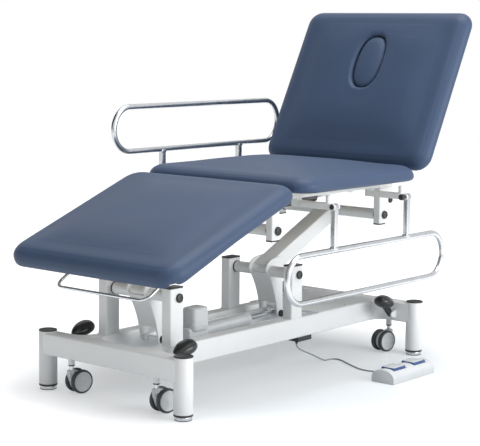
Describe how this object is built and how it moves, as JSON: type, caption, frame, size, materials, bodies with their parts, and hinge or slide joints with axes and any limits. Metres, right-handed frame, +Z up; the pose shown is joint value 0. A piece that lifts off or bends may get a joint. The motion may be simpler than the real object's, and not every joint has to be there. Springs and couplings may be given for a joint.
{
  "type": "examination couch",
  "caption": "Electric examination couch with a padded leg, seat and back section on a parallelogram lift, fold-down side rails, pedal casters and a foot switch.",
  "frame": {"origin": "on the floor under the middle of the couch's bounding box, foot switch included", "axes": "+X towards the head end, +Y towards the far long side, +Z up"},
  "size_m": [1.5714, 0.879, 1.1876],
  "materials": {
    "white_paint": "satin white powder coat",
    "black_plastic": "satin moulded plastic",
    "shaft_steel": "black oxide steel",
    "blue_vinyl": "satin vinyl-coated fabric over foam",
    "plywood": "birch plywood",
    "chrome_tube": "polished",
    "steel": "bright zinc",
    "strut_paint": "gloss black paint",
    "grey_plastic": "light grey moulded plastic",
    "cord_rubber": "grey sheath",
    "blue_plastic": "moulded blue plastic",
    "wheel_rubber": "grey rubber tyre"
  },
  "bodies": {
    "base": {"base_frame": "white_paint", "base_cover_plate": "white_paint", "junction_box": "black_plastic", "cord_gland": "black_plastic", "foot_switch_body": "grey_plastic", "foot_switch_cord": "cord_rubber", "front_lower_pivot_shaft": "shaft_steel", "rear_lower_pivot_shaft": "shaft_steel", "post_cap_foot_near": "black_plastic", "levelling_foot_foot_near": "steel", "post_cap_foot_far": "black_plastic", "levelling_foot_foot_far": "steel", "post_cap_head_near": "black_plastic", "levelling_foot_head_near": "steel", "post_cap_head_far": "black_plastic", "levelling_foot_head_far": "steel"},
    "front_arm": {"front_lift_arm": "white_paint"},
    "rear_arm": {"rear_lift_arm": "white_paint"},
    "upper": {"seat_frame": "white_paint", "seat_board": "plywood", "seat_pad": "blue_vinyl", "front_upper_pivot_shaft": "shaft_steel", "rear_upper_pivot_shaft": "shaft_steel"},
    "back": {"back_frame": "white_paint", "back_board": "plywood", "back_pad": "blue_vinyl"},
    "plug": {"face_hole_plug": "blue_vinyl"},
    "leg": {"leg_frame": "white_paint", "leg_board": "plywood", "leg_pad": "blue_vinyl"},
    "release": {"release_bar": "chrome_tube"},
    "near_rail": {"near_side_rail": "chrome_tube"},
    "far_rail": {"far_side_rail": "chrome_tube"},
    "near_lock": {"near_rail_lock_knob": "black_plastic"},
    "far_lock": {"far_rail_lock_knob": "black_plastic"},
    "tie_bar": {"lift_tie_bar": "white_paint"},
    "lift_motor": {"actuator_body": "grey_plastic"},
    "lift_rod": {"actuator_rod": "steel"},
    "back_cylinder": {"back_strut_cylinder": "strut_paint"},
    "back_rod": {"back_strut_rod": "steel"},
    "leg_cylinder": {"leg_strut_cylinder": "strut_paint"},
    "leg_rod": {"leg_strut_rod": "steel"},
    "switch_foot": {"foot_switch_pad_foot": "blue_plastic"},
    "switch_head": {"foot_switch_pad_head": "blue_plastic"},
    "stem_foot_near": {"caster_foot_near_stem": "steel"},
    "housing_foot_near": {"caster_foot_near_housing": "grey_plastic"},
    "wheels_foot_near": {"caster_foot_near_wheels": "wheel_rubber"},
    "pedal_foot_near": {"pedal_foot_near": "black_plastic"},
    "stem_foot_far": {"caster_foot_far_stem": "steel"},
    "housing_foot_far": {"caster_foot_far_housing": "grey_plastic"},
    "wheels_foot_far": {"caster_foot_far_wheels": "wheel_rubber"},
    "pedal_foot_far": {"pedal_foot_far": "black_plastic"},
    "stem_head_near": {"caster_head_near_stem": "steel"},
    "housing_head_near": {"caster_head_near_housing": "grey_plastic"},
    "wheels_head_near": {"caster_head_near_wheels": "wheel_rubber"},
    "pedal_head_near": {"pedal_head_near": "black_plastic"},
    "stem_head_far": {"caster_head_far_stem": "steel"},
    "housing_head_far": {"caster_head_far_housing": "grey_plastic"},
    "wheels_head_far": {"caster_head_far_wheels": "wheel_rubber"},
    "pedal_head_far": {"pedal_head_far": "black_plastic"}
  },
  "joints": [
    {"name": "lift", "type": "hinge", "parent": "base", "child": "front_arm", "pos_m": [-0.54008, 0.0605, 0.326], "axis": [0, -1, 0], "range_deg": [-12, 36]},
    {"name": "rear_arm_swing", "type": "hinge", "parent": "base", "child": "rear_arm", "pos_m": [0.04592, 0.0605, 0.326], "axis": [0, -1, 0], "range_deg": [-12.5, 36.5]},
    {"name": "upper_level", "type": "hinge", "parent": "front_arm", "child": "upper", "pos_m": [-0.16729, 0.0605, 0.49905], "axis": [0, -1, 0], "range_deg": [-36.5, 12.5]},
    {"name": "tie_bar_swing", "type": "hinge", "parent": "front_arm", "child": "tie_bar", "pos_m": [-0.49031, 0.0605, 0.17602], "axis": [0, -1, 0], "range_deg": [-36.5, 12.5]},
    {"name": "lift_motor_swing", "type": "hinge", "parent": "base", "child": "lift_motor", "pos_m": [-0.42308, 0.0505, 0.165], "axis": [0, -1, 0], "range_deg": [-2.06, 5.18]},
    {"name": "lift_rod_swing", "type": "hinge", "parent": "rear_arm", "child": "lift_rod", "pos_m": [0.09569, 0.0505, 0.17602], "axis": [0, -1, 0], "range_deg": [-31.82, 10.94]},
    {"name": "back_tilt", "type": "hinge", "parent": "upper", "child": "back", "pos_m": [0.48492, 0.0605, 0.64], "axis": [0, -1, 0], "range_deg": [-62.2, 7.8]},
    {"name": "back_cylinder_swing", "type": "hinge", "parent": "upper", "child": "back_cylinder", "pos_m": [0.06692, 0.0605, 0.54], "axis": [0, -1, 0], "range_deg": [-1, 1]},
    {"name": "back_rod_swing", "type": "hinge", "parent": "back", "child": "back_rod", "pos_m": [0.53236, 0.0605, 0.55846], "axis": [0, -1, 0], "range_deg": [-8.5, 62.5]},
    {"name": "plug_pull", "type": "slide", "parent": "back", "child": "plug", "axis": [-0.8846, 0, 0.4664], "range_m": [0, 0.08]},
    {"name": "leg_tilt", "type": "hinge", "parent": "upper", "child": "leg", "pos_m": [-0.18808, 0.0605, 0.61], "axis": [0, 1, 0], "range_deg": [0, 20.5]},
    {"name": "leg_cylinder_swing", "type": "hinge", "parent": "upper", "child": "leg_cylinder", "pos_m": [0.02192, 0.1405, 0.585], "axis": [0, 1, 0], "range_deg": [-0.5, 4.2]},
    {"name": "leg_rod_swing", "type": "hinge", "parent": "leg", "child": "leg_rod", "pos_m": [-0.22266, 0.1405, 0.55971], "axis": [0, 1, 0], "range_deg": [-17.4, 0.5]},
    {"name": "release_pull", "type": "hinge", "parent": "leg", "child": "release", "pos_m": [-0.48327, 0.0605, 0.48576], "axis": [0, 1, 0], "range_deg": [0, 7], "stiffness_Nm_per_rad": 8, "springref_deg": -8.59},
    {"name": "near_rail_flip", "type": "hinge", "parent": "upper", "child": "near_rail", "pos_m": [0.14892, -0.3075, 0.578], "axis": [-1, 0, 0], "range_deg": [0, 180]},
    {"name": "near_lock_pull", "type": "slide", "parent": "upper", "child": "near_lock", "axis": [-1, 0, 0], "range_m": [0, 0.006], "stiffness_N_per_m": 400, "springref_m": -0.004},
    {"name": "far_rail_flip", "type": "hinge", "parent": "upper", "child": "far_rail", "pos_m": [0.14892, 0.4285, 0.578], "axis": [-1, 0, 0], "range_deg": [0, 180]},
    {"name": "far_lock_pull", "type": "slide", "parent": "upper", "child": "far_lock", "axis": [-1, 0, 0], "range_m": [0, 0.006], "stiffness_N_per_m": 400, "springref_m": -0.004},
    {"name": "pedal_press_foot_near", "type": "hinge", "parent": "base", "child": "pedal_foot_near", "pos_m": [-0.61908, -0.1555, 0.14], "axis": [0, 1, 0], "range_deg": [0, 15]},
    {"name": "caster_lift_foot_near", "type": "slide", "parent": "base", "child": "stem_foot_near", "axis": [0, 0, 1], "range_m": [-0.0005, 0.0125]},
    {"name": "caster_swivel_foot_near", "type": "hinge", "parent": "stem_foot_near", "child": "housing_foot_near", "pos_m": [-0.66508, -0.1195, 0.0755], "axis": [0, 0, 1], "continuous": true},
    {"name": "wheel_roll_foot_near", "type": "hinge", "parent": "housing_foot_near", "child": "wheels_foot_near", "pos_m": [-0.63849, -0.12419, 0.038], "axis": [0.1736, 0.9848, 0], "continuous": true},
    {"name": "pedal_press_foot_far", "type": "hinge", "parent": "base", "child": "pedal_foot_far", "pos_m": [-0.61908, 0.2765, 0.14], "axis": [0, 1, 0], "range_deg": [0, 15]},
    {"name": "caster_lift_foot_far", "type": "slide", "parent": "base", "child": "stem_foot_far", "axis": [0, 0, 1], "range_m": [-0.0005, 0.0125]},
    {"name": "caster_swivel_foot_far", "type": "hinge", "parent": "stem_foot_far", "child": "housing_foot_far", "pos_m": [-0.66508, 0.2405, 0.0755], "axis": [0, 0, 1], "continuous": true},
    {"name": "wheel_roll_foot_far", "type": "hinge", "parent": "housing_foot_far", "child": "wheels_foot_far", "pos_m": [-0.63849, 0.23581, 0.038], "axis": [0.1736, 0.9848, 0], "continuous": true},
    {"name": "pedal_press_head_near", "type": "hinge", "parent": "base", "child": "pedal_head_near", "pos_m": [0.49292, -0.1555, 0.14], "axis": [0, -1, 0], "range_deg": [0, 15]},
    {"name": "caster_lift_head_near", "type": "slide", "parent": "base", "child": "stem_head_near", "axis": [0, 0, 1], "range_m": [-0.0005, 0.0125]},
    {"name": "caster_swivel_head_near", "type": "hinge", "parent": "stem_head_near", "child": "housing_head_near", "pos_m": [0.53892, -0.1195, 0.0755], "axis": [0, 0, 1], "continuous": true},
    {"name": "wheel_roll_head_near", "type": "hinge", "parent": "housing_head_near", "child": "wheels_head_near", "pos_m": [0.51233, -0.11481, 0.038], "axis": [-0.1736, -0.9848, 0], "continuous": true},
    {"name": "pedal_press_head_far", "type": "hinge", "parent": "base", "child": "pedal_head_far", "pos_m": [0.49292, 0.2765, 0.14], "axis": [0, -1, 0], "range_deg": [0, 15]},
    {"name": "caster_lift_head_far", "type": "slide", "parent": "base", "child": "stem_head_far", "axis": [0, 0, 1], "range_m": [-0.0005, 0.0125]},
    {"name": "caster_swivel_head_far", "type": "hinge", "parent": "stem_head_far", "child": "housing_head_far", "pos_m": [0.53892, 0.2405, 0.0755], "axis": [0, 0, 1], "continuous": true},
    {"name": "wheel_roll_head_far", "type": "hinge", "parent": "housing_head_far", "child": "wheels_head_far", "pos_m": [0.51233, 0.24519, 0.038], "axis": [-0.1736, -0.9848, 0], "continuous": true},
    {"name": "switch_press_foot", "type": "slide", "parent": "base", "child": "switch_foot", "axis": [0, 0, -1], "range_m": [0, 0.003], "stiffness_N_per_m": 600, "springref_m": -0.002},
    {"name": "switch_press_head", "type": "slide", "parent": "base", "child": "switch_head", "axis": [0, 0, -1], "range_m": [0, 0.003], "stiffness_N_per_m": 600, "springref_m": -0.002}
  ],
  "couplings": [
    {"joint": "rear_arm_swing", "follows": "lift", "ratio": 1},
    {"joint": "upper_level", "follows": "lift", "ratio": -1},
    {"joint": "tie_bar_swing", "follows": "lift", "ratio": -1},
    {"joint": "lift_motor_swing", "follows": "lift", "ratio": 0.13},
    {"joint": "lift_rod_swing", "follows": "lift", "ratio": -0.87},
    {"joint": "back_cylinder_swing", "follows": "back_tilt", "ratio": 0.0075},
    {"joint": "back_rod_swing", "follows": "back_tilt", "ratio": -0.9925},
    {"joint": "leg_cylinder_swing", "follows": "leg_tilt", "ratio": 0.177},
    {"joint": "leg_rod_swing", "follows": "leg_tilt", "ratio": -0.823},
    {"joint": "caster_lift_foot_near", "follows": "pedal_press_foot_near", "m_per_rad": 0.045837},
    {"joint": "caster_lift_foot_far", "follows": "pedal_press_foot_far", "m_per_rad": 0.045837},
    {"joint": "caster_lift_head_near", "follows": "pedal_press_head_near", "m_per_rad": 0.045837},
    {"joint": "caster_lift_head_far", "follows": "pedal_press_head_far", "m_per_rad": 0.045837}
  ]
}
